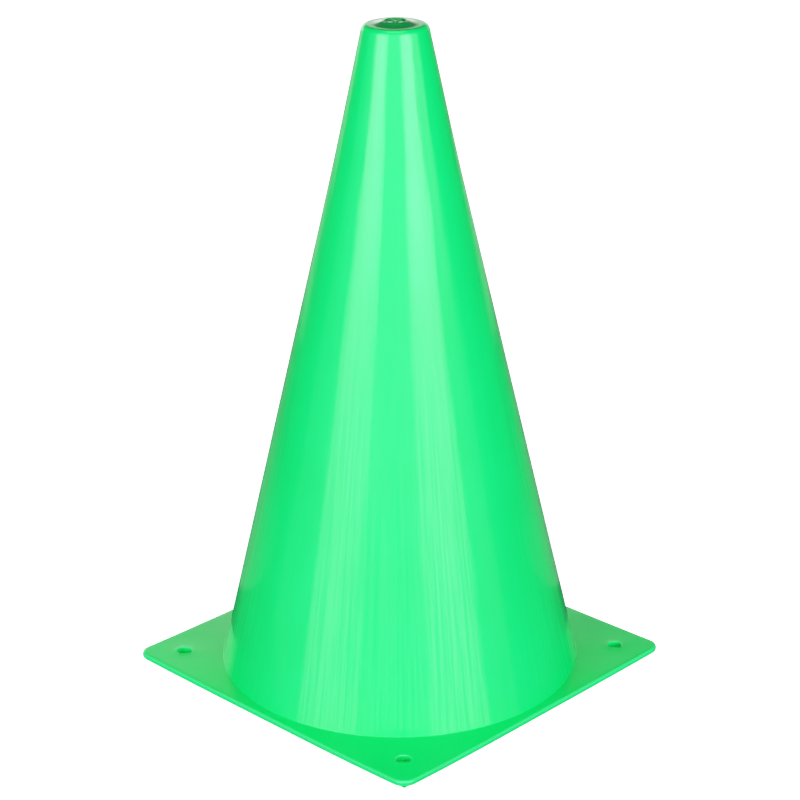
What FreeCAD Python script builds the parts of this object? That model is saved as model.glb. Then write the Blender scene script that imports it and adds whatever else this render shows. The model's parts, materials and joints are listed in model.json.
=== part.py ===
import FreeCAD, Part
import math
import os

import Sketcher

# A small training and marker cone: one hollow injection moulding with a closed top, a low
# boss in its middle, and a thin square base plate that has a peg hole in each corner.
# Millimetres. +Z is up; the origin is the centre of the base plate's underside.

DIMENSIONS = {
    # overall
    "cone_height": 229.7,  # underside of the base to the level rim of the top
    "wall": 1.4,  # cone wall, square to its surface
    "top_skin": 1.4,  # closed top, below its rim
    # base plate
    "base_side": 133.5,
    "base_thickness": 2.2,
    "base_corner_radius": 5.0,
    "base_edge_round": 0.6,
    "foot_radius": 63.2,  # outside of the cone where it meets the plate
    "foot_fillet": 1.0,
    "mouth_round": 0.4,  # where the hollow opens in the underside
    # the flank is two straight tapers joined by a long, gentle curve
    "bend_height": 185.0,  # where the two tapers would meet
    "bend_flank_radius": 20.4,  # outside radius of the cone at that height
    "bend_curve_radius": 750.0,
    "top_radius": 10.86,  # where the upper taper would reach the cone's height
    # closed top
    "shoulder_round": 2.6,
    "inner_shoulder_round": 1.5,
    # the boss sweeps up from the rim to a narrow lip round a shallow recess, in which the
    # moulding gate has left its stub
    "boss_foot_radius": 8.4,
    "boss_rise": 1.0,
    "lip_radius": 4.0,
    "recess_radius": 3.45,
    "recess_depth": 0.5,
    "gate_radius": 1.1,
    "gate_rise": 0.35,
    "lip_edge_round": 0.15,
    # peg holes, one in each corner of the plate
    "peg_hole_radius": 2.5,
    "peg_hole_spacing": 109.4,
    "peg_hole_edge_round": 0.45,
}
PEG_HOLES = 4
TOLERANCE = 1e-6

START, END, CENTRE = 1, 2, 3  # Sketcher's numbers for the points of a line or an arc
ORIGIN = (-1, START)
H_AXIS, V_AXIS = -1, -2
UP = FreeCAD.Vector(0, 0, 1)


def add_sheet(doc):
    """Put each driving dimension in the sheet, with its name beside it as the alias."""
    sheet = doc.addObject("Spreadsheet::Sheet", "Dimensions")
    for row, (alias, value) in enumerate(DIMENSIONS.items(), start=1):
        sheet.set(f"A{row}", alias)
        sheet.set(f"B{row}", str(value))
        sheet.setAlias(f"B{row}", alias)
    doc.recompute()


def formula(text):
    """Write the aliases in a formula as references to the sheet."""
    words = [f"Dimensions.{word}" if word in DIMENSIONS else word for word in text.split()]
    return " ".join(words)


def bind(feature, name, text):
    feature.setExpression(name, formula(text))


def origin_feature(body, role):
    return next(item for item in body.Origin.OriginFeatures if item.Role == role)


def make_sketch(body, name, plane, height=None):
    """Start a sketch on one of the body's origin planes, or level at a height above it."""
    sketch = body.newObject("Sketcher::SketchObject", name)
    sketch.AttachmentSupport = [(origin_feature(body, plane), "")]
    sketch.MapMode = "FlatFace"
    if height is not None:
        bind(sketch, "AttachmentOffset.Base.z", height)
    return sketch


def relate(sketch, kind, *items):
    """Add a constraint that has no value, such as Coincident or Tangent."""
    sketch.addConstraint(Sketcher.Constraint(kind, *items))


def measure(sketch, kind, items, value, text):
    """Add a constraint whose value is a formula over the sheet; value is where it starts."""
    index = sketch.addConstraint(Sketcher.Constraint(kind, *items, value))
    sketch.setExpression(f"Constraints[{index}]", formula(text))


def place(sketch, point, x, y, x_text, y_text):
    """Hold a point at an x and a y from the sketch's origin."""
    measure(sketch, "DistanceX", (*ORIGIN, *point), x, x_text)
    measure(sketch, "DistanceY", (*ORIGIN, *point), y, y_text)


def vector(x, y):
    return FreeCAD.Vector(x, y, 0)


def line(sketch, start, end):
    return sketch.addGeometry(Part.LineSegment(vector(*start), vector(*end)))


def arc(sketch, centre, radius, start_angle, end_angle):
    """Add an arc that runs anticlockwise between two angles in radians."""
    circle = Part.Circle(vector(*centre), UP, radius)
    return sketch.addGeometry(Part.ArcOfCircle(circle, start_angle, end_angle))


def add_circle(sketch, centre, radius, radius_text):
    """Add a full circle of a driven radius and return its index."""
    circle = sketch.addGeometry(Part.Circle(vector(*centre), UP, radius))
    measure(sketch, "Radius", (circle,), radius, radius_text)
    return circle


def edges_where(feature, test):
    """Name the edges of a feature's shape that pass a test."""
    edges = enumerate(feature.Shape.Edges, start=1)
    return [f"Edge{number}" for number, edge in edges if test(edge)]


def circle_radius(edge, height):
    """Return the radius of an edge that is a level circle at this height, or else 0."""
    if edge.Degenerated or not isinstance(edge.Curve, Part.Circle):
        return 0.0
    level = abs(edge.Curve.Center.z - height) < TOLERANCE
    return edge.Curve.Radius if level else 0.0


def is_circle(edge, radius, height):
    return abs(circle_radius(edge, height) - radius) < TOLERANCE


def round_edges(body, name, test, radius_alias, expected):
    """Fillet the edges of the body's latest feature that pass a test."""
    base = body.Tip
    names = edges_where(base, test)
    if len(names) != expected:
        raise RuntimeError(f"{name} found {len(names)} edges, not {expected}")
    fillet = body.newObject("PartDesign::Fillet", name)
    fillet.Base = (base, names)
    bind(fillet, "Radius", radius_alias)
    body.Document.recompute()
    return fillet


def pad(body, name, sketch, length):
    feature = body.newObject("PartDesign::Pad", name)
    feature.Profile = sketch
    bind(feature, "Length", length)
    body.Document.recompute()
    return feature


def pocket(body, name, sketch, depth, upward=False):
    """Cut a pocket, and stop if it points away from the solid and cuts nothing."""
    before = body.Shape.Volume
    feature = body.newObject("PartDesign::Pocket", name)
    feature.Profile = sketch
    feature.Reversed = upward
    bind(feature, "Length", depth)
    body.Document.recompute()
    if feature.Shape.Volume > before - TOLERANCE:
        raise RuntimeError(f"{name} cut nothing")
    return feature


def draw_plate(sketch, size):
    """Draw the rounded square, with the hole that the cone's hollow leaves in it."""
    half = size["base_side"] / 2
    radius = size["base_corner_radius"]
    straight = half - radius
    sides = []
    corners = []
    for quarter in range(4):
        turn = quarter * math.pi / 2
        cos, sin = round(math.cos(turn)), round(math.sin(turn))
        start = (half * cos + straight * sin, half * sin - straight * cos)
        end = (half * cos - straight * sin, half * sin + straight * cos)
        centre = (straight * (cos - sin), straight * (sin + cos))
        sides.append(line(sketch, start, end))
        corners.append(arc(sketch, centre, radius, turn, turn + math.pi / 2))
    for quarter in range(4):
        following = (quarter + 1) % 4
        relate(sketch, "Tangent", sides[quarter], END, corners[quarter], START)
        relate(sketch, "Tangent", corners[quarter], END, sides[following], START)
    for quarter in range(3):
        relate(sketch, "Equal", corners[quarter], corners[quarter + 1])
    right, top, left, bottom = sides
    relate(sketch, "Vertical", right)
    relate(sketch, "Horizontal", top)
    relate(sketch, "Vertical", left)
    relate(sketch, "Horizontal", bottom)
    measure(sketch, "DistanceX", (*ORIGIN, right, START), half, "base_side / 2")
    measure(sketch, "DistanceY", (*ORIGIN, top, START), half, "base_side / 2")
    measure(sketch, "DistanceX", (left, START, *ORIGIN), half, "base_side / 2")
    measure(sketch, "DistanceY", (bottom, START, *ORIGIN), half, "base_side / 2")
    measure(sketch, "Radius", (corners[0],), radius, "base_corner_radius")
    inside = size["foot_radius"] - size["wall"] / 2
    hollow = add_circle(sketch, (0, 0), inside, "foot_radius - wall / 2")
    relate(sketch, "Coincident", hollow, CENTRE, *ORIGIN)


class Flank:
    """Where the straight tapers and the curves of one side of the wall meet.

    The inside of the wall is the outside moved inwards by inset, square to the surface.
    """

    def __init__(self, size, inset=0.0):
        foot = (size["foot_radius"], size["base_thickness"])
        bend = (size["bend_flank_radius"], size["bend_height"])
        top = (size["top_radius"], size["cone_height"])
        self.lower_lean = math.atan2(foot[0] - bend[0], bend[1] - foot[1])
        self.upper_lean = math.atan2(bend[0] - top[0], top[1] - bend[1])
        curve = size["bend_curve_radius"]
        reach = curve * math.tan((self.lower_lean - self.upper_lean) / 2)
        tangent = self.along(bend, self.lower_lean, -reach)
        self.bend_centre = self.across(tangent, self.lower_lean, curve)
        self.bend_curve = curve + inset
        self.bend_start = self.across(self.bend_centre, self.lower_lean, -self.bend_curve)
        self.bend_end = self.across(self.bend_centre, self.upper_lean, -self.bend_curve)

    @staticmethod
    def along(point, lean, distance):
        """Move a point up a taper that leans inwards by an angle from the vertical."""
        return (point[0] - distance * math.sin(lean), point[1] + distance * math.cos(lean))

    @staticmethod
    def across(point, lean, distance):
        """Move a point outwards, square to a taper."""
        return (point[0] + distance * math.cos(lean), point[1] + distance * math.sin(lean))

    def lower_at(self, height):
        rise = height - self.bend_start[1]
        return (self.bend_start[0] - rise * math.tan(self.lower_lean), height)

    def upper_at(self, height):
        rise = height - self.bend_end[1]
        return (self.bend_end[0] - rise * math.tan(self.upper_lean), height)

    def shoulder(self, height, radius):
        """Return the centre and start of the round between the upper taper and a level top."""
        corner = self.upper_at(height)
        reach = radius * math.tan((math.pi / 2 - self.upper_lean) / 2)
        start = self.along(corner, self.upper_lean, -reach)
        return self.across(start, self.upper_lean, -radius), start


def draw_outside(sketch, size):
    """Draw the wall's outside from the underside to the boss; return its geometry by name."""
    flank = Flank(size)
    foot = (size["foot_radius"], size["base_thickness"])
    bend = (size["bend_flank_radius"], size["bend_height"])
    rim_height = size["cone_height"]
    shoulder_radius = size["shoulder_round"]
    shoulder_centre, shoulder_start = flank.shoulder(rim_height, shoulder_radius)
    boss_foot = (size["boss_foot_radius"], rim_height)
    lip = (size["lip_radius"], rim_height + size["boss_rise"])
    width = boss_foot[0] - lip[0]
    boss_curve = (width ** 2 + size["boss_rise"] ** 2) / (2 * size["boss_rise"])
    boss_centre = (boss_foot[0], rim_height + boss_curve)
    boss_sweep = math.asin(width / boss_curve)

    side = {}
    side["foot"] = line(sketch, (foot[0], 0), foot)
    side["lower"] = line(sketch, foot, flank.bend_start)
    side["bend"] = arc(sketch, flank.bend_centre, flank.bend_curve,
                       math.pi + flank.upper_lean, math.pi + flank.lower_lean)
    side["upper"] = line(sketch, flank.bend_end, shoulder_start)
    side["shoulder"] = arc(sketch, shoulder_centre, shoulder_radius,
                           flank.upper_lean, math.pi / 2)
    side["rim"] = line(sketch, (shoulder_centre[0], rim_height), boss_foot)
    side["boss"] = arc(sketch, boss_centre, boss_curve,
                       1.5 * math.pi - boss_sweep, 1.5 * math.pi)
    side["lip"] = line(sketch, lip, (0, lip[1]))

    relate(sketch, "PointOnObject", side["foot"], START, H_AXIS)
    relate(sketch, "Vertical", side["foot"])
    relate(sketch, "Coincident", side["foot"], END, side["lower"], START)
    relate(sketch, "Tangent", side["lower"], END, side["bend"], END)
    relate(sketch, "Tangent", side["bend"], START, side["upper"], START)
    relate(sketch, "Tangent", side["upper"], END, side["shoulder"], START)
    relate(sketch, "Tangent", side["shoulder"], END, side["rim"], START)
    relate(sketch, "Horizontal", side["rim"])
    relate(sketch, "Tangent", side["rim"], END, side["boss"], END)
    relate(sketch, "Coincident", side["boss"], START, side["lip"], START)
    relate(sketch, "Horizontal", side["lip"])
    relate(sketch, "PointOnObject", side["lip"], END, V_AXIS)

    place(sketch, (side["lower"], START), *foot, "foot_radius", "base_thickness")
    place(sketch, (side["rim"], END), *boss_foot, "boss_foot_radius", "cone_height")
    place(sketch, (side["lip"], START), *lip, "lip_radius", "cone_height + boss_rise")
    measure(sketch, "Radius", (side["bend"],), flank.bend_curve, "bend_curve_radius")
    measure(sketch, "Radius", (side["shoulder"],), shoulder_radius, "shoulder_round")

    # Two reference points aim the tapers: where they cross, and where the upper one ends.
    crossing = sketch.addGeometry(Part.Point(vector(*bend)), True)
    place(sketch, (crossing, START), *bend, "bend_flank_radius", "bend_height")
    relate(sketch, "PointOnObject", crossing, START, side["lower"])
    relate(sketch, "PointOnObject", crossing, START, side["upper"])
    corner = (size["top_radius"], rim_height)
    aim = sketch.addGeometry(Part.Point(vector(*corner)), True)
    place(sketch, (aim, START), *corner, "top_radius", "cone_height")
    relate(sketch, "PointOnObject", aim, START, side["upper"])
    return side


def draw_inside(sketch, size, outside):
    """Draw the wall's inside, one wall in from the outside, and close the section."""
    flank = Flank(size, size["wall"])
    ceiling = size["cone_height"] - size["top_skin"]
    radius = size["inner_shoulder_round"]
    shoulder_centre, shoulder_start = flank.shoulder(ceiling, radius)
    foot = flank.lower_at(0.0)

    axis = line(sketch, (0, size["cone_height"] + size["boss_rise"]), (0, ceiling))
    top = line(sketch, (0, ceiling), (shoulder_centre[0], ceiling))
    shoulder = arc(sketch, shoulder_centre, radius, flank.upper_lean, math.pi / 2)
    upper = line(sketch, shoulder_start, flank.bend_end)
    bend = arc(sketch, flank.bend_centre, flank.bend_curve,
               math.pi + flank.upper_lean, math.pi + flank.lower_lean)
    lower = line(sketch, flank.bend_start, foot)
    sole = line(sketch, foot, (size["foot_radius"], 0))

    relate(sketch, "Coincident", outside["lip"], END, axis, START)
    relate(sketch, "PointOnObject", axis, END, V_AXIS)
    relate(sketch, "Coincident", axis, END, top, START)
    relate(sketch, "Horizontal", top)
    relate(sketch, "Tangent", top, END, shoulder, END)
    relate(sketch, "Tangent", shoulder, START, upper, START)
    relate(sketch, "Tangent", upper, END, bend, START)
    relate(sketch, "Tangent", bend, END, lower, START)
    relate(sketch, "Coincident", bend, CENTRE, outside["bend"], CENTRE)
    relate(sketch, "Parallel", upper, outside["upper"])
    relate(sketch, "Parallel", lower, outside["lower"])
    relate(sketch, "Coincident", lower, END, sole, START)
    relate(sketch, "PointOnObject", sole, START, H_AXIS)
    relate(sketch, "Coincident", sole, END, outside["foot"], START)

    measure(sketch, "DistanceY", (*ORIGIN, axis, END), ceiling, "cone_height - top_skin")
    measure(sketch, "Radius", (shoulder,), radius, "inner_shoulder_round")
    measure(sketch, "Radius", (bend,), flank.bend_curve, "bend_curve_radius + wall")


def add_base_plate(body, size):
    sketch = make_sketch(body, "plate_outline", "XY_Plane")
    draw_plate(sketch, size)
    pad(body, "base_plate", sketch, "base_thickness")

    def on_rim(edge):
        middle = edge.CenterOfMass
        level = edge.BoundBox.ZLength < TOLERANCE
        return level and math.hypot(middle.x, middle.y) > size["foot_radius"]

    round_edges(body, "plate_rim_round", on_rim, "base_edge_round", 16)


def add_cone(body, size):
    sketch = make_sketch(body, "wall_section", "XZ_Plane")
    draw_inside(sketch, size, draw_outside(sketch, size))
    cone = body.newObject("PartDesign::Revolution", "cone_wall")
    cone.Profile = sketch
    cone.ReferenceAxis = (sketch, ["V_Axis"])
    cone.Angle = 360.0
    body.Document.recompute()

    def at_foot(edge):
        return is_circle(edge, size["foot_radius"], size["base_thickness"])

    def at_mouth(edge):
        inside = size["foot_radius"] - 2 * size["wall"]
        return inside < circle_radius(edge, 0.0) < size["foot_radius"]

    round_edges(body, "foot_fillet", at_foot, "foot_fillet", 1)
    round_edges(body, "mouth_round", at_mouth, "mouth_round", 1)


def add_recess(body, size):
    """Sink the recess in the boss and leave the gate's stub standing in it."""
    lip_height = size["cone_height"] + size["boss_rise"]

    sketch = make_sketch(body, "recess_outline", "XY_Plane", "cone_height + boss_rise")
    recess = add_circle(sketch, (0, 0), size["recess_radius"], "recess_radius")
    relate(sketch, "Coincident", recess, CENTRE, *ORIGIN)
    pocket(body, "boss_recess", sketch, "recess_depth")

    sketch = make_sketch(body, "gate_outline", "XY_Plane",
                         "cone_height + boss_rise - recess_depth")
    gate = add_circle(sketch, (0, 0), size["gate_radius"], "gate_radius")
    relate(sketch, "Coincident", gate, CENTRE, *ORIGIN)
    pad(body, "gate_stub", sketch, "gate_rise")

    gate_height = lip_height - size["recess_depth"] + size["gate_rise"]

    def on_lip(edge):
        outer = is_circle(edge, size["lip_radius"], lip_height)
        inner = is_circle(edge, size["recess_radius"], lip_height)
        return outer or inner or is_circle(edge, size["gate_radius"], gate_height)

    round_edges(body, "lip_edge_round", on_lip, "lip_edge_round", 3)


def add_peg_holes(body, size):
    """Cut one peg hole, turn it round to the four corners and soften the mouths."""
    sketch = make_sketch(body, "peg_hole_outline", "XY_Plane")
    offset = size["peg_hole_spacing"] / 2
    hole = add_circle(sketch, (offset, offset), size["peg_hole_radius"], "peg_hole_radius")
    place(sketch, (hole, CENTRE), offset, offset,
          "peg_hole_spacing / 2", "peg_hole_spacing / 2")
    first = pocket(body, "peg_hole", sketch, "base_thickness", upward=True)

    pattern = body.newObject("PartDesign::PolarPattern", "peg_holes")
    pattern.Originals = [first]
    pattern.Axis = (origin_feature(body, "Z_Axis"), [""])
    pattern.Angle = 360.0
    pattern.Occurrences = PEG_HOLES
    body.Tip = pattern
    body.Document.recompute()

    def at_mouth(edge):
        heights = (0.0, size["base_thickness"])
        return any(is_circle(edge, size["peg_hole_radius"], height) for height in heights)

    round_edges(body, "peg_hole_round", at_mouth, "peg_hole_edge_round", 2 * PEG_HOLES)


def make_cone_moulding(doc, size):
    body = doc.addObject("PartDesign::Body", "cone_moulding")
    body.Label = "cone_moulding"
    body.Placement = FreeCAD.Placement()
    add_base_plate(body, size)
    add_cone(body, size)
    add_recess(body, size)
    add_peg_holes(body, size)
    return body


def check(doc, bodies):
    """Stop unless every object recomputed and every body holds one valid solid."""
    doc.recompute()
    for item in doc.Objects:
        if "Invalid" in item.State or "Error" in item.State:
            raise RuntimeError(f"{item.Label} did not recompute: {item.State}")
        if item.isDerivedFrom("Sketcher::SketchObject") and not item.FullyConstrained:
            raise RuntimeError(f"{item.Label} is not fully constrained")
    for body in bodies:
        shape = body.Shape
        if shape.isNull() or not shape.isValid() or len(shape.Solids) != 1:
            raise RuntimeError(f"{body.Label} is not one valid solid")


def main():
    doc = FreeCAD.newDocument("traffic_cone")
    add_sheet(doc)
    bodies = [make_cone_moulding(doc, DIMENSIONS)]
    check(doc, bodies)
    os.makedirs("parts", exist_ok=True)
    for body in bodies:
        body.Shape.exportStep(f"parts/{body.Label}.step")
        box = body.Shape.optimalBoundingBox(False)
        sides = f"{box.XLength:.1f} x {box.YLength:.1f} x {box.ZLength:.1f} mm"
        print(f"{body.Label}: {body.Shape.Volume / 1000:.1f} cm3, {sides}")


main()
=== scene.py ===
import json
import math

import bmesh
import bpy
from mathutils import Matrix, Vector, noise
from mathutils.bvhtree import BVHTree
from mathutils.geometry import delaunay_2d_cdt


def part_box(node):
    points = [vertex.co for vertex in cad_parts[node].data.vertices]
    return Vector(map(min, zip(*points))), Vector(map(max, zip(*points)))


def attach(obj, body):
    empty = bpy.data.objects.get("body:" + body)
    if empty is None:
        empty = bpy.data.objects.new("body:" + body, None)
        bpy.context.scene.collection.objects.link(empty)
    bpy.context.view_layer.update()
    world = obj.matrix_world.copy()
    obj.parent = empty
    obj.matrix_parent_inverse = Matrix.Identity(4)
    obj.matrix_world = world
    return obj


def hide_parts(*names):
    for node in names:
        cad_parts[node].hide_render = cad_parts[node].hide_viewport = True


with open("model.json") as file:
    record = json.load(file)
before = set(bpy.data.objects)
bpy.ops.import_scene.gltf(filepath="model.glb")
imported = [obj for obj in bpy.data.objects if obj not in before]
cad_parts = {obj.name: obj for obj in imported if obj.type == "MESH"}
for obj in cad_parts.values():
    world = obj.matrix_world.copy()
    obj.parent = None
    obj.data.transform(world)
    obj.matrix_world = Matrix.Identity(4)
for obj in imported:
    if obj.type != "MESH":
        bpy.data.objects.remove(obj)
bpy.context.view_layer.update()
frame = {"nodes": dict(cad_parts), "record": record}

# The looks of a small green marker cone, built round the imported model. Metres, radians.
NODE = "cone_moulding"
MM = 0.001
UP = Vector((0, 0, 1))

# Fineness of the mesh
AROUND = 288  # sides of the cone
PEG_HOLE_SIDES = 48
CORNER_STEPS = 10
ROUND_STEPS = 6
FLANK_STEP = 3.0 * MM
PLATE_STEP = 3.0 * MM
SAME_POINT = 1e-7  # points no farther apart than this are one
ENCLOSED_ONLY = 1  # asks the triangulation to leave out what lies outside the loops

# Rounds and small flats
FOOT_FILLET = 0.3 * MM
MOUTH_ROUND = 0.4 * MM
PLATE_ROUND = 0.9 * MM
PEG_HOLE_ROUND = 0.45 * MM
SHOULDER_ROUND = 2.1 * MM
INNER_SHOULDER_ROUND = 1.5 * MM
RIM_FLAT = 0.75 * MM  # between the shoulder and the foot of the boss
LIP_WIDTH = 0.55 * MM
LIP_ROUND = 0.2 * MM
FLOOR_ROUND = 0.5 * LIP_ROUND  # on the floor of the recess and on the gate's stub
STUB_CLIMB = (-0.5, 0.87)  # the stub narrows upwards
TAPER_BLEND = 7.5 * MM  # half the height over which the two tapers run into each other

# Shares of the height between which each taper is plain, clear of the bend and the rounds
LOWER_TAPER = (0.05, 0.65)
UPPER_TAPER = (0.855, 0.96)

# Small unevenness that the moulding has on top of the plain design
FLUTE_DEPTH = 0.05 * MM
FLUTE_BIAS = 0.6  # added to noise from about -1 to 1, so that the flutes mostly sink inward
FLUTE_LENGTH = 250 * MM  # the flutes run along the flank
FLUTE_FADE = 20 * MM  # from the foot and from the top
PLATE_WAVE = 0.05 * MM
WAVE_LENGTH = 18 * MM
HOLE_LIP = 0.10 * MM  # plastic pushed up round each peg hole
HOLE_LIP_REACH = 1.1 * MM
FLAT_BORDER = 0.9 * MM  # of faces that keep the plate level beside its rounds
CORNER_LIFTS = (0.3 * MM, 0.5 * MM, 0.4 * MM, 0.9 * MM)  # warp of the plate, anticlockwise

# The camera looks over one corner of the plate, from a little above
VIEW_AZIMUTH = math.radians(44.28)
VIEW_ELEVATION = math.radians(20.97)
VIEW_DISTANCE = 0.7933
PIVOT_HEIGHT = 0.115  # of the point that the elevation and the distance are counted from
AIM_HEIGHT = 0.0984
AIM_ASIDE = 0.0007
CAMERA_ROLL = math.radians(0.40)
CAMERA_LENS = 104.5
CAMERA_SENSOR = 36.0

# Colours, in linear light
GREEN = (0.0005, 0.88, 0.198, 1)
CLOUD_GREEN = (0.0010, 0.92, 0.212, 1)
# Painted shade: the deeper green given to level surfaces
LEVEL_SHADE_GREEN = (0.0004, 0.76, 0.140, 1)
# Painted highlight: the pale green of the plate's rounded edges
EDGE_HIGHLIGHT_GREEN = (0.050, 0.95, 0.28, 1)
# Painted shade: the deeper green of the closed top above the rim
TOP_SHADE_GREEN = (0.0003, 0.36, 0.070, 1)
PAPER = (0.66, 0.66, 0.665, 1)
PAPER_GRAIN = (0.70, 0.70, 0.70, 1)
# Painted light: the green tint and the green glow of the floor under the plate
PAINTED_GREEN_LIGHT_UNDER_PLATE = (0.003, 0.55, 0.10, 1)
PAINTED_GLOW_UNDER_PLATE = (0.0, 0.33, 0.035, 1)

# Light
SIDE_DROP = 0.3  # how much weaker a softbox is at its sides than down its middle
PURE_WHITE = 1.6  # the light that the camera's response shows as full white
TONES = ((0.35, 0.35), (0.70, 0.70), (1.05, 0.87), (1.35, 0.975))  # (light, as it is shown)
EVEN = [(-1.0, 1.0), (1.0, 1.0)]  # the profile of a panel that doesn't fade


# ---------------------------------------------------------------- measures from the frame


def cast(tree, start, direction):
    """Return how far a ray runs from start before it meets the frame."""
    distance = tree.ray_cast(Vector(start), Vector(direction))[3]
    if distance is None:
        raise RuntimeError(f"nothing to measure from {start} towards {direction}")
    return distance


def straight_line(first, second):
    """Return slope and radius at height 0 of a taper through two (height, radius) points."""
    slope = (second[1] - first[1]) / (second[0] - first[0])
    return slope, first[1] - slope * first[0]


def measure_frame():
    """Read the few sizes that drive the mesh off the CAD node and the record.

    Rays measure the node where each of its faces is plain, clear of the rounds.
    """
    node = frame["nodes"][NODE]
    tree = BVHTree.FromPolygons(
        [vertex.co for vertex in node.data.vertices],
        [polygon.vertices for polygon in node.data.polygons])
    low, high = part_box(NODE)
    far = high.x * 2
    above = far * 3
    sizes = {}
    sizes["half"] = high.x
    sizes["top"] = high.z
    mount = next(m for m in frame["record"]["mounts"] if m["name"] == "peg_holes")
    offset = mount["dims"]["spacing_x_mm"] / 2 * MM
    sizes["pegs"] = [Vector((x, y)) for x in (offset, -offset) for y in (offset, -offset)]
    sizes["peg_radius"] = mount["dims"]["hole_r_mm"] * MM

    def outside(height):
        return far - cast(tree, (far, 0, height), (-1, 0, 0))

    def inside(height):
        return cast(tree, (0, 0, height), (1, 0, 0))

    def height_at(radius):
        return above - cast(tree, (radius, 0, above), (0, 0, -1))

    def taper(radius, shares):
        heights = [share * sizes["top"] for share in shares]
        return straight_line(*[(height, radius(height)) for height in heights])

    beside_foot = (0.9 * sizes["half"], 0.6 * sizes["half"])
    sizes["plate"] = above - cast(tree, (*beside_foot, above), (0, 0, -1))
    diagonal = far * 2 - cast(tree, (far * math.sqrt(2), far * math.sqrt(2), sizes["plate"] / 2),
                              (-math.sqrt(0.5), -math.sqrt(0.5), 0))
    sizes["corner_radius"] = (math.sqrt(2) * sizes["half"] - diagonal) / (math.sqrt(2) - 1)
    sizes["flank"] = (taper(outside, LOWER_TAPER), taper(outside, UPPER_TAPER))
    sizes["inner_flank"] = (taper(inside, LOWER_TAPER), taper(inside, UPPER_TAPER))
    above_gate = sizes["top"] - 0.12 * MM
    sizes["recess_radius"] = inside(above_gate)
    sizes["lip_radius"] = sizes["recess_radius"] + LIP_WIDTH
    beside_boss = 2.5 * sizes["recess_radius"]
    sizes["rim"] = height_at(beside_boss)
    sizes["recess_floor"] = height_at(0.7 * sizes["recess_radius"])
    beside_axis = 0.1 * MM
    sizes["gate_top"] = height_at(beside_axis)
    sizes["gate_radius"] = inside(sizes["gate_top"] - 0.2 * MM)
    in_hollow = 0.85 * sizes["top"]
    sizes["ceiling"] = in_hollow + cast(tree, (beside_axis, 0, in_hollow), (0, 0, 1))
    return sizes


# ---------------------------------------------------------------- outlines as (radius, height)


def arc_points(centre, radius, start, end, steps):
    """Points along an arc between two angles, both ends included."""
    points = []
    for step in range(steps + 1):
        angle = start + (end - start) * step / steps
        points.append((centre[0] + radius * math.cos(angle),
                       centre[1] + radius * math.sin(angle)))
    return points


def flank_radius(tapers, height):
    """Radius of a flank of two tapers that run into each other over a short stretch."""
    (slope_a, radius_a), (slope_b, radius_b) = tapers
    low = radius_a + slope_a * height
    high = radius_b + slope_b * height
    # A smooth maximum: the upper taper is the less steep one, so it wins above the bend.
    gap = high - low
    width = TAPER_BLEND * abs(slope_b - slope_a)
    return low + 0.5 * (gap + math.sqrt(gap * gap + width * width))


def flank_points(tapers, start, end):
    """Points on a flank between two heights, the first left out."""
    count = math.ceil(abs(end - start) / FLANK_STEP)
    heights = [start + (end - start) * index / count for index in range(1, count + 1)]
    return [(flank_radius(tapers, height), height) for height in heights]


def rounded_step(points, corner, before, after, radius):
    """Add a rounded corner to an outline; before and after are the directions it joins."""
    for index in range(ROUND_STEPS + 1):
        share = index / ROUND_STEPS
        angle = share * math.pi / 2
        forward = radius * (math.sin(angle) - 1)
        onward = radius * (1 - math.cos(angle))
        points.append((corner[0] + before[0] * forward + after[0] * onward,
                       corner[1] + before[1] * forward + after[1] * onward))


def outer_outline(sizes):
    """The outside from the foot fillet on the plate up to the lip of the boss."""
    lean = math.atan(-sizes["flank"][0][0])
    upper_lean = math.atan(-sizes["flank"][1][0])
    # The fillet is tangent to the plate's top and to the lower taper.
    centre_height = sizes["plate"] + FOOT_FILLET
    touch = centre_height - FOOT_FILLET * math.sin(lean)
    centre_radius = flank_radius(sizes["flank"], touch) + FOOT_FILLET * math.cos(lean)
    points = arc_points((centre_radius, centre_height), FOOT_FILLET,
                        -math.pi / 2, -math.pi + lean, ROUND_STEPS)
    corner = flank_radius(sizes["flank"], sizes["rim"])
    reach = SHOULDER_ROUND * math.tan((math.pi / 2 - upper_lean) / 2)
    wall_end = sizes["rim"] - reach * math.cos(upper_lean)
    points += flank_points(sizes["flank"], points[-1][1], wall_end)
    points += arc_points((corner - reach, sizes["rim"] - SHOULDER_ROUND), SHOULDER_ROUND,
                         upper_lean, math.pi / 2, 2 * ROUND_STEPS)[1:]
    # The boss is a hollow curve, level where it leaves the rim.
    foot = corner - reach - RIM_FLAT
    width = foot - sizes["lip_radius"]
    rise = sizes["top"] - sizes["rim"]
    curve = (width ** 2 + rise ** 2) / (2 * rise)
    sweep = math.asin(width / curve)
    points += arc_points((foot, sizes["rim"] + curve), curve, -math.pi / 2,
                         -math.pi / 2 - sweep + LIP_ROUND / curve, 3 * ROUND_STEPS)
    climb = (-math.cos(sweep), math.sin(sweep))
    rounded_step(points, (sizes["lip_radius"], sizes["top"]), climb, (-1, 0), LIP_ROUND)
    return points


def recess_outline(sizes):
    """From the lip of the boss down into its recess and up onto the gate's stub."""
    floor = sizes["recess_floor"]
    points = []
    rounded_step(points, (sizes["recess_radius"], sizes["top"]), (-1, 0), (0, -1), LIP_ROUND)
    rounded_step(points, (sizes["recess_radius"], floor), (0, -1), (-1, 0), FLOOR_ROUND)
    points.append((0.6 * sizes["recess_radius"], floor))
    rounded_step(points, (sizes["gate_radius"], floor), (-1, 0), STUB_CLIMB, FLOOR_ROUND)
    rounded_step(points, (0.7 * sizes["gate_radius"], sizes["gate_top"]),
                 STUB_CLIMB, (-1, 0), FLOOR_ROUND)
    points.append((0.3 * sizes["gate_radius"], sizes["gate_top"]))
    return points


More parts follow.
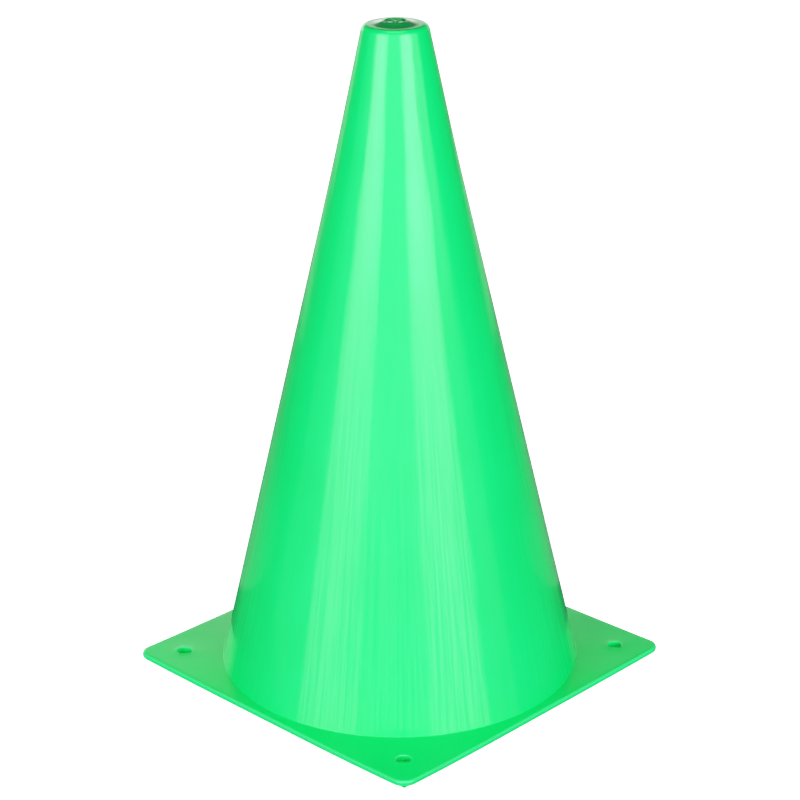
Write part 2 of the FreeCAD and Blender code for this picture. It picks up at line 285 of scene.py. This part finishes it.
def inner_outline(sizes):
    """The inside from the mouth in the underside up to the middle of the ceiling."""
    tapers = sizes["inner_flank"]
    start = flank_radius(tapers, MOUTH_ROUND)
    points = arc_points((start + MOUTH_ROUND, MOUTH_ROUND), MOUTH_ROUND,
                        -math.pi / 2, -math.pi, ROUND_STEPS)
    lean = math.atan(-tapers[1][0])
    corner = flank_radius(tapers, sizes["ceiling"])
    reach = INNER_SHOULDER_ROUND * math.tan((math.pi / 2 - lean) / 2)
    wall_end = sizes["ceiling"] - reach * math.cos(lean)
    points += flank_points(tapers, MOUTH_ROUND, wall_end)
    centre = (corner - reach, sizes["ceiling"] - INNER_SHOULDER_ROUND)
    points += arc_points(centre, INNER_SHOULDER_ROUND, lean, math.pi / 2, ROUND_STEPS)[1:]
    points.append((0.5 * points[-1][0], sizes["ceiling"]))
    return points


# ---------------------------------------------------------------- mesh


def circle_loop(bm, centre, radius, height, sides):
    """A level loop of vertices round a centre."""
    loop = []
    for side in range(sides):
        angle = 2 * math.pi * side / sides
        loop.append(bm.verts.new((centre[0] + radius * math.cos(angle),
                                  centre[1] + radius * math.sin(angle), height)))
    return loop


def plate_loop(bm, sizes, inset, height):
    """A level loop that follows the plate's outline, set in from it."""
    radius = sizes["corner_radius"] - inset
    middle = sizes["half"] - sizes["corner_radius"]
    straight_steps = round(2 * middle / PLATE_STEP)
    loop = []
    for quarter in range(4):
        turn = Matrix.Rotation(quarter * math.pi / 2, 2)
        for step in range(CORNER_STEPS + 1):
            angle = math.pi / 2 * step / CORNER_STEPS
            corner = Vector((middle + radius * math.cos(angle),
                             middle + radius * math.sin(angle)))
            x, y = turn @ corner
            loop.append(bm.verts.new((x, y, height)))
        for step in range(1, straight_steps):
            along = middle - 2 * middle * step / straight_steps
            x, y = turn @ Vector((along, middle + radius))
            loop.append(bm.verts.new((x, y, height)))
    return loop


def bridge(bm, first, second, flip=False):
    """Join two loops of the same length with quads."""
    count = len(first)
    for index in range(count):
        after = (index + 1) % count
        corners = [first[index], first[after], second[after], second[index]]
        if flip:
            corners.reverse()
        bm.faces.new(corners)


def revolve(bm, loop, outline, centre=(0, 0), flip=False):
    """Carry a loop on through the points of an outline and return the last loop."""
    for radius, height in outline:
        following = circle_loop(bm, centre, radius, height, len(loop))
        bridge(bm, loop, following, flip)
        loop = following
    return loop


def cap(bm, loop, height, flip=False):
    """Close a loop with a fan of triangles."""
    middle = bm.verts.new((0, 0, height))
    for index, vertex in enumerate(loop):
        corners = [vertex, loop[(index + 1) % len(loop)], middle]
        if flip:
            corners.reverse()
        bm.faces.new(corners)


def fill_plate(bm, sizes, rim, inner, holes, height, flip=False):
    """Fill the flat stretch between the rim loop, the cone's loop and the peg hole loops."""
    hole_reach = (holes[0][0].co.xy - sizes["pegs"][0]).length
    inner_radius = inner[0].co.xy.length
    margin = PLATE_ROUND + FLAT_BORDER + 0.3 * PLATE_STEP
    limit = sizes["half"] - margin

    def clear(point, room):
        from_holes = min((point - peg).length for peg in sizes["pegs"])
        return point.length > inner_radius + room and from_holes > hole_reach + room

    def on_plate(point):
        middle = sizes["half"] - sizes["corner_radius"]
        beyond = Vector((max(abs(point.x) - middle, 0), max(abs(point.y) - middle, 0)))
        return beyond.length < sizes["corner_radius"] - margin

    loose = []
    steps = int(limit / PLATE_STEP)
    for column in range(-steps, steps + 1):
        for row in range(-steps, steps + 1):
            point = Vector((column, row)) * PLATE_STEP
            if clear(point, 0.5 * PLATE_STEP) and on_plate(point):
                loose.append(bm.verts.new((point.x, point.y, height)))
    vertices = []
    edges = []
    for loop in [rim, inner] + holes:
        start = len(vertices)
        vertices += loop
        count = len(loop)
        edges += [(start + index, start + (index + 1) % count) for index in range(count)]
    vertices += loose
    flat = [vertex.co.xy for vertex in vertices]
    made = delaunay_2d_cdt(flat, edges, [], ENCLOSED_ONLY, SAME_POINT)
    faces, sources = made[2:4]
    for face in faces:
        corners = [vertices[sources[index][0]] for index in face]
        middle = sum((corner.co.xy for corner in corners), Vector((0, 0))) / len(corners)
        if not clear(middle, 0):
            continue
        bent = (corners[1].co.xy - corners[0].co.xy).cross(corners[2].co.xy - corners[0].co.xy)
        if (bent > 0) == flip:
            corners.reverse()
        bm.faces.new(corners)


def ripple(point, scale, seed):
    """Smooth noise from -1 to 1 at a scale in metres."""
    return noise.noise(Vector(point) / scale + Vector((seed, 2 * seed, 3 * seed)))


def corner_lift(x, y, share):
    """How far the plate has curled up at a point; share runs from its foot to a corner."""
    angle = math.atan2(y, x)
    lift = 0.0
    for quarter, most in enumerate(CORNER_LIFTS):
        away = angle - (quarter + 0.5) * math.pi / 2
        lift += most * max(0.0, math.cos(2 * away)) * (math.cos(away) > 0)
    return lift * share ** 2


def settle(bm, sizes):
    """Give the moulding its flutes, waves, raised hole edges and lifted corners."""
    plate = sizes["plate"]
    hardly_above = plate + 0.01 * MM
    foot = flank_radius(sizes["flank"], plate)
    for vertex in bm.verts:
        x, y, z = vertex.co
        radius = math.hypot(x, y)
        if plate + 2 * MM < z < sizes["rim"] - SHOULDER_ROUND:
            around = Vector((x / radius, y / radius, z / FLUTE_LENGTH))
            broad = noise.noise(around * 5.0)
            narrow = noise.noise(around * 13.0)
            flute = broad + 0.5 * narrow
            fade = min(1.0, (z - plate) / FLUTE_FADE)
            fade *= min(1.0, (sizes["rim"] - z) / FLUTE_FADE)
            vertex.co.xy *= 1 - FLUTE_DEPTH * fade * (FLUTE_BIAS + flute) / radius
        if z <= hardly_above:
            share = max(0.0, (radius - foot) / (math.sqrt(2) * sizes["half"] - foot))
            upper = z / plate
            # The waves only lower the plate's top; they set in over the first quarter from the foot.
            wave = PLATE_WAVE * (ripple((x, y, 0), WAVE_LENGTH, 3) - 1) * min(1.0, share * 4)
            nearest = min((vertex.co.xy - peg).length for peg in sizes["pegs"])
            past = max(0.0, nearest - sizes["peg_radius"])
            lip = HOLE_LIP * math.exp(-((past / HOLE_LIP_REACH) ** 2))
            vertex.co.z = max(z + corner_lift(x, y, share) + (wave + lip) * upper, 0.0)


def build_cone(sizes):
    """Build the whole moulding as one closed mesh."""
    plate = sizes["plate"]
    bm = bmesh.new()

    outline = outer_outline(sizes)
    foot = circle_loop(bm, (0, 0), *outline[0], AROUND)
    loop = revolve(bm, foot, outline[1:] + recess_outline(sizes))
    cap(bm, loop, sizes["gate_top"])

    outline = inner_outline(sizes)
    mouth = circle_loop(bm, (0, 0), *outline[0], AROUND)
    loop = revolve(bm, mouth, outline[1:], flip=True)
    cap(bm, loop, sizes["ceiling"], flip=True)

    rim = arc_points((0, plate - PLATE_ROUND), PLATE_ROUND, math.pi / 2, 0, ROUND_STEPS)
    rim += arc_points((0, PLATE_ROUND), PLATE_ROUND, 0, -math.pi / 2, ROUND_STEPS)
    loops = [plate_loop(bm, sizes, PLATE_ROUND - out, height) for out, height in rim]
    for upper, lower in zip(loops, loops[1:]):
        bridge(bm, upper, lower, flip=True)
    rim_border = plate_loop(bm, sizes, PLATE_ROUND + FLAT_BORDER, plate)
    bridge(bm, loops[0], rim_border)
    foot_border = revolve(bm, foot, [(foot[0].co.x + FLAT_BORDER, plate)], flip=True)

    mouth_radius = sizes["peg_radius"] + PEG_HOLE_ROUND
    wall = arc_points((mouth_radius, plate - PEG_HOLE_ROUND), PEG_HOLE_ROUND,
                      math.pi / 2, math.pi, ROUND_STEPS)
    wall += arc_points((mouth_radius, PEG_HOLE_ROUND), PEG_HOLE_ROUND,
                       math.pi, 1.5 * math.pi, ROUND_STEPS)
    border = [(mouth_radius + FLAT_BORDER * share, plate) for share in (0.35, 0.7, 1.0)]
    uppers = []
    lowers = []
    for peg in sizes["pegs"]:
        upper = circle_loop(bm, peg, *wall[0], PEG_HOLE_SIDES)
        uppers.append(revolve(bm, upper, border, peg, flip=True))
        lowers.append(revolve(bm, upper, wall[1:], peg))
    fill_plate(bm, sizes, rim_border, foot_border, uppers, plate)
    fill_plate(bm, sizes, loops[-1], mouth, lowers, 0.0, flip=True)

    settle(bm, sizes)
    bmesh.ops.recalc_face_normals(bm, faces=bm.faces)
    mesh = bpy.data.meshes.new("moulded_cone")
    bm.to_mesh(mesh)
    bm.free()
    mesh.shade_smooth()
    piece = bpy.data.objects.new("moulded_cone", mesh)
    bpy.context.scene.collection.objects.link(piece)
    even = piece.modifiers.new("even_normals", "WEIGHTED_NORMAL")
    even.weight = 80
    return piece


# ---------------------------------------------------------------- materials


class Nodes:
    """A small helper that adds shader nodes and links them."""

    def __init__(self, tree):
        self.tree = tree
        tree.nodes.clear()

    def add(self, kind, inputs=None, **settings):
        node = self.tree.nodes.new(kind)
        for name, value in settings.items():
            setattr(node, name, value)
        for name, value in (inputs or {}).items():
            if isinstance(value, bpy.types.NodeSocket):
                self.tree.links.new(value, node.inputs[name])
            else:
                node.inputs[name].default_value = value
        return node

    def math(self, operation, *values):
        node = self.add("ShaderNodeMath", dict(enumerate(values)), operation=operation)
        return node.outputs[0]

    def noise(self, vector, scale, detail=2.0, roughness=0.5):
        inputs = {"Vector": vector, "Scale": scale, "Detail": detail, "Roughness": roughness}
        return self.add("ShaderNodeTexNoise", inputs).outputs["Fac"]

    def remap(self, value, low, high, to_low=0.0, to_high=1.0, smooth=True):
        kind = "SMOOTHSTEP" if smooth else "LINEAR"
        inputs = {"Value": value, "From Min": low, "From Max": high,
                  "To Min": to_low, "To Max": to_high}
        node = self.add("ShaderNodeMapRange", inputs, interpolation_type=kind)
        return node.outputs["Result"]

    def mix_colour(self, share, first, second):
        node = self.add("ShaderNodeMix", data_type="RGBA")
        for index, value in ((0, share), (6, first), (7, second)):
            if isinstance(value, bpy.types.NodeSocket):
                self.tree.links.new(value, node.inputs[index])
            else:
                node.inputs[index].default_value = value
        return node.outputs[2]


def new_material(name):
    """Make a material with no nodes yet, and the helper that adds them."""
    material = bpy.data.materials.new(name)
    material.use_nodes = True
    return material, Nodes(material.node_tree)


def from_axis(n, x, y):
    """Distance from the cone's axis."""
    return n.math("SQRT", n.math("ADD", n.math("MULTIPLY", x, x), n.math("MULTIPLY", y, y)))


def streak_pattern(n, position, around_scale, height_scale, detail):
    """Noise drawn out along the cone's flank, from the foot towards the tip."""
    split = n.add("ShaderNodeSeparateXYZ", {"Vector": position})
    x, y, z = split.outputs
    flat = from_axis(n, x, y)
    inputs = {"X": n.math("DIVIDE", x, flat), "Y": n.math("DIVIDE", y, flat),
              "Z": n.math("MULTIPLY", z, height_scale)}
    around = n.add("ShaderNodeCombineXYZ", inputs).outputs[0]
    return n.noise(around, around_scale, detail, roughness=0.65)


def cone_plastic(rim_height, foot_radius):
    """Glossy green polyethylene with drawn polishing lines and faint mottling."""
    material, n = new_material("green_polyethylene")
    position = n.add("ShaderNodeTexCoord").outputs["Object"]
    geometry = n.add("ShaderNodeNewGeometry")
    facing = n.add("ShaderNodeSeparateXYZ", {"Vector": geometry.outputs["True Normal"]})
    upward = n.math("ABSOLUTE", facing.outputs["Z"])
    level = n.remap(upward, 0.6, 0.9)  # 1 on the plate and the closed top, 0 on the flank
    x, y, height = n.add("ShaderNodeSeparateXYZ", {"Vector": position}).outputs
    low_down = n.remap(height, 0.20, 0.05)

    fine = streak_pattern(n, position, around_scale=95.0, height_scale=0.16, detail=3.0)
    broad = streak_pattern(n, position, around_scale=14.0, height_scale=0.5, detail=2.0)
    mottle = n.noise(position, scale=160.0, detail=3.0, roughness=0.6)
    cloud = n.noise(position, scale=32.0, detail=2.0, roughness=0.5)

    # Colour: the pigment is even, with slight clouding; level surfaces get a deeper green, painted
    # shade for the weaker, greener light that falls on them.
    pigment = n.mix_colour(n.remap(cloud, 0.3, 0.7), GREEN, CLOUD_GREEN)
    pigment = n.mix_colour(n.math("MULTIPLY", level, 0.5), pigment, LEVEL_SHADE_GREEN)

    # The rounded edges of the plate are painted paler, a painted highlight for the light from above
    # that catches them.
    edge_highlight_mask = n.math("MULTIPLY", n.remap(upward, 0.12, 0.4), n.remap(upward, 0.99, 0.9))
    on_plate = n.remap(from_axis(n, x, y), foot_radius + 1 * MM, foot_radius + 2 * MM)
    pigment = n.mix_colour(n.math("MULTIPLY", edge_highlight_mask, on_plate), pigment, EDGE_HIGHLIGHT_GREEN)

    # Above the rim the closed top is drawn in a deeper green, painted shade for its darker look.
    top_shade = n.remap(height, rim_height - 0.2 * MM, rim_height + 0.1 * MM)
    pigment = n.mix_colour(top_shade, pigment, TOP_SHADE_GREEN)

    # Gloss: a soft body sheen below a thin, sharper skin that the lines break up.
    upright = n.math("SUBTRACT", 1.0, level)
    drawn = n.math("MULTIPLY", n.math("ADD", n.math("MULTIPLY", low_down, 0.7), 0.3), upright)
    line_wear = n.math("MULTIPLY", n.remap(fine, 0.44, 0.60), drawn)
    sheen = n.remap(broad, 0.3, 0.7, 0.36, 0.46)
    skin = n.math("ADD", n.math("MULTIPLY", line_wear, 0.05),
                  n.remap(mottle, 0.3, 0.7, 0.065, 0.09))
    shine = n.math("SUBTRACT", 0.90, n.math("MULTIPLY", line_wear, 0.55))

    flank_height = n.math("MULTIPLY", n.math("SUBTRACT", fine, 0.5), upright)
    relief = n.math("ADD", n.math("MULTIPLY", flank_height, 0.9),
                    n.math("MULTIPLY", mottle, 0.10))
    bump = n.add("ShaderNodeBump", {"Height": relief, "Strength": 0.5,
                                    "Distance": 0.02 * MM})

    surface = n.add("ShaderNodeBsdfPrincipled", {
        "Base Color": pigment,
        "Roughness": sheen,
        "IOR": 1.5,
        "Specular IOR Level": 0.2,
        "Coat Weight": shine,
        "Coat Roughness": skin,
        "Coat IOR": 1.5,
        "Normal": bump.outputs["Normal"],
        "Coat Normal": bump.outputs["Normal"],
    })
    n.add("ShaderNodeOutputMaterial", {"Surface": surface.outputs[0]})
    return material


def floor_paper(half):
    """A pale floor that is lifted to white round the cone, as in a cut-out picture, with painted
    green light under the plate.
    """
    material, n = new_material("pale_floor")
    position = n.add("ShaderNodeTexCoord").outputs["Object"]
    grain = n.noise(position, scale=220.0, detail=3.0, roughness=0.6)
    tint = n.mix_colour(grain, PAPER, PAPER_GRAIN)
    # Under the plate the floor is painted green and given a green glow, painted light for the light
    # that comes through the green plastic.
    split = n.add("ShaderNodeSeparateXYZ", {"Vector": position})
    across = n.math("MAXIMUM", n.math("ABSOLUTE", split.outputs["X"]),
                    n.math("ABSOLUTE", split.outputs["Y"]))
    open_floor = n.math("GREATER_THAN", across, half - 2 * MM)
    tint = n.mix_colour(open_floor, PAINTED_GREEN_LIGHT_UNDER_PLATE, tint)
    paper = n.add("ShaderNodeBsdfPrincipled", {"Base Color": tint, "Roughness": 0.5,
                                               "Specular IOR Level": 0.2})
    seen = n.add("ShaderNodeLightPath").outputs["Is Camera Ray"]
    white = (PURE_WHITE, PURE_WHITE, PURE_WHITE, 1)
    lift = n.mix_colour(open_floor, PAINTED_GLOW_UNDER_PLATE, white)
    lifted = n.add("ShaderNodeEmission", {"Color": lift, "Strength": seen})
    shown = n.add("ShaderNodeAddShader", {0: paper.outputs[0], 1: lifted.outputs[0]})
    n.add("ShaderNodeOutputMaterial", {"Surface": shown.outputs[0]})
    return material


def share_along(n, place, profile):
    """A share from 0 to 1 that follows (place, share) pairs along one direction of a panel."""
    low, high = profile[0][0], profile[-1][0]
    ramp = n.add("ShaderNodeValToRGB", {"Fac": n.remap(place, low, high, smooth=False)})
    stops = ramp.color_ramp.elements
    while len(stops) < len(profile):
        stops.new(0.5)
    for stop, (along, share) in zip(stops, profile):
        stop.position = (along - low) / (high - low)
        stop.color = (share, share, share, 1)
    return ramp.outputs["Color"]


def glow(name, strength, profile, across, axis="Z"):
    """Light given off by a panel, from its profile along one axis and across it, along X."""
    material, n = new_material(name)
    position = n.add("ShaderNodeTexCoord").outputs["Object"]
    split = n.add("ShaderNodeSeparateXYZ", {"Vector": position})
    level = n.math("MULTIPLY", share_along(n, split.outputs[axis], profile),
                   share_along(n, split.outputs["X"], across))
    light = n.add("ShaderNodeEmission", {"Strength": n.math("MULTIPLY", level, strength)})
    n.add("ShaderNodeOutputMaterial", {"Surface": light.outputs[0]})
    return material


def dome(half):
    """Shares across a softbox whose lamp stands behind its middle."""
    shares = []
    for step in range(-4, 5):
        shares.append((half * step / 4, 1 - SIDE_DROP * (step / 4) ** 2))
    return shares


# ---------------------------------------------------------------- studio


def bearing(azimuth):
    """Level unit vector towards an azimuth counted from the camera, positive to its right."""
    angle = VIEW_AZIMUTH + azimuth
    return Vector((math.sin(angle), -math.cos(angle), 0))


def add_panel(name, corners, material, turn, place):
    """Add a lit panel that lights the cone but is not itself in the picture."""
    mesh = bpy.data.meshes.new(name)
    mesh.from_pydata(corners, [], [(0, 1, 2, 3)])
    mesh.materials.append(material)
    panel = bpy.data.objects.new(name, mesh)
    bpy.context.scene.collection.objects.link(panel)
    panel.location = place
    panel.rotation_euler.z = turn
    panel.visible_camera = False
    panel.visible_shadow = False


def add_softbox(name, azimuth, half_angle, strength, profile, distance=1.6, across=None):
    """Stand an upright softbox round the cone, facing it; angles in degrees."""
    half = distance * math.tan(math.radians(half_angle))
    low, high = profile[0][0], profile[-1][0]
    corners = [(-half, 0, low), (half, 0, low), (half, 0, high), (-half, 0, high)]
    material = glow(name, strength, profile, across or dome(half))
    add_panel(name, corners, material, VIEW_AZIMUTH + math.radians(azimuth),
              bearing(math.radians(azimuth)) * distance)


def add_level_panel(name, half_x, half_y, material, place):
    """Lay a panel level, square to the camera."""
    corners = [(-half_x, -half_y, 0), (half_x, -half_y, 0), (half_x, half_y, 0),
               (-half_x, half_y, 0)]
    add_panel(name, corners, material, VIEW_AZIMUTH, place)


def add_lights():
    """Two tall softboxes, a weak third, dim walls in front, a lit sweep behind and a top light."""
    # Profiles are (height, share) pairs; the tall softboxes are brightest 0.6 m up.
    tall = [(-0.25, 0.40), (0.0, 0.48), (0.11, 0.54), (0.30, 0.63), (0.44, 0.92), (0.60, 0.95),
            (0.93, 0.60), (1.48, 0.30), (2.4, 0.0)]
    add_softbox("softbox_left", azimuth=-44, half_angle=20, strength=6.0, profile=tall)
    add_softbox("softbox_right", azimuth=35.5, half_angle=20, strength=6.6, profile=tall)
    high = [(-0.25, 0.25), (0.15, 0.25), (0.40, 1.0), (0.9, 0.6), (1.5, 0.0)]
    add_softbox("softbox_side", azimuth=67, half_angle=9.5, strength=2.0, profile=high)
    wall = [(-0.25, 1.0), (1.0, 0.9), (1.9, 0.0)]
    add_softbox("front_wall", azimuth=-4, half_angle=19, strength=1.3, profile=wall, across=EVEN)
    add_softbox("left_wall", azimuth=-79, half_angle=15, strength=0.25, profile=wall, across=EVEN)
    behind = bearing(math.pi)
    # The backdrop is brighter on the left; its level foot fades to its sides and towards the cone.
    sweep = [(0.0, 0.2), (0.1, 0.3), (0.2, 0.9), (0.33, 1.0), (0.45, 0.85), (0.53, 0.40),
             (0.60, 0.0)]
    add_softbox("backdrop", azimuth=185, half_angle=41, strength=2.2, profile=sweep,
                distance=1.0, across=[(-0.35, 0.45), (0.35, 1.0)])
    fade = [(-0.85, 0.0), (-0.65, 0.28), (-0.45, 1.0), (0.45, 1.0), (0.65, 0.28), (0.85, 0.0)]
    material = glow("backdrop_foot", 0.43, [(-0.27, 0.5), (-0.17, 1.0)], fade, axis="Y")
    add_level_panel("backdrop_foot", 0.85, 0.27, material, behind * 0.71 + UP * MM)
    # A weaker strip fills the gap between that foot and the cone.
    fade = [(-0.45, 0.0), (-0.35, 0.2), (-0.15, 1.0), (0.15, 1.0), (0.35, 0.2), (0.45, 0.0)]
    material = glow("backdrop_near", 0.24, EVEN, fade)
    add_level_panel("backdrop_near", 0.45, 0.19, material, behind * 0.25 + UP * MM)
    add_level_panel("overhead", 0.45, 0.45, glow("overhead", 1.8, EVEN, EVEN), UP * 1.7)


def add_floor(half):
    """Lay a wide floor just under the cone."""
    mesh = bpy.data.meshes.new("floor")
    reach = 8.0
    mesh.from_pydata([(-reach, -reach, 0), (reach, -reach, 0), (reach, reach, 0),
                      (-reach, reach, 0)], [], [(0, 1, 2, 3)])
    mesh.materials.append(floor_paper(half))
    floor = bpy.data.objects.new("floor", mesh)
    bpy.context.scene.collection.objects.link(floor)
    floor.location.z = -0.02 * MM
    floor.visible_glossy = False  # the plastic mirrors the panels, which reach below it


def set_world():
    """Pale to the camera, dim to everything else, so that the panels do the lighting."""
    world = bpy.data.worlds.new("studio")
    bpy.context.scene.world = world
    world.use_nodes = True
    n = Nodes(world.node_tree)
    seen = n.add("ShaderNodeLightPath").outputs["Is Camera Ray"]
    strength = n.remap(seen, 0.0, 1.0, 0.03, PURE_WHITE, smooth=False)
    room = n.add("ShaderNodeBackground", {"Color": (1, 1, 1, 1), "Strength": strength})
    n.add("ShaderNodeOutputWorld", {"Surface": room.outputs[0]})


def add_camera():
    """Look at the cone over one corner of its plate, from a little above."""
    level = math.cos(VIEW_ELEVATION) * VIEW_DISTANCE
    eye = bearing(0) * level + UP * (PIVOT_HEIGHT + math.sin(VIEW_ELEVATION) * VIEW_DISTANCE)
    aside = bearing(0).cross(UP) * -AIM_ASIDE
    forward = (aside + UP * AIM_HEIGHT - eye).normalized()
    right = forward.cross(UP).normalized()
    roll = Matrix.Rotation(CAMERA_ROLL, 3, forward)
    right = roll @ right
    up = right.cross(forward)
    data = bpy.data.cameras.new("camera")
    data.lens = CAMERA_LENS
    data.sensor_width = CAMERA_SENSOR
    data.clip_start = 0.01
    data.clip_end = 30.0
    camera = bpy.data.objects.new("camera", data)
    axes = Matrix((right, up, -forward)).transposed()
    camera.matrix_world = Matrix.Translation(eye) @ axes.to_4x4()
    bpy.context.scene.collection.objects.link(camera)
    bpy.context.scene.camera = camera


def set_response():
    """Roll off the brightest tones as a camera does, so that the bright green doesn't clip."""
    view = bpy.context.scene.view_settings
    view.view_transform = "Standard"
    view.use_curve_mapping = True
    view.curve_mapping.white_level = (PURE_WHITE, PURE_WHITE, PURE_WHITE)
    for light, shown in TONES:
        view.curve_mapping.curves[3].points.new(light / PURE_WHITE, shown)
    view.curve_mapping.update()


def main():
    sizes = measure_frame()
    cone = build_cone(sizes)
    foot_radius = flank_radius(sizes["flank"], sizes["plate"])
    cone.data.materials.append(cone_plastic(sizes["rim"], foot_radius))
    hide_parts(NODE)
    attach(cone, "root")
    add_floor(sizes["half"])
    add_lights()
    set_world()
    add_camera()
    set_response()


main()
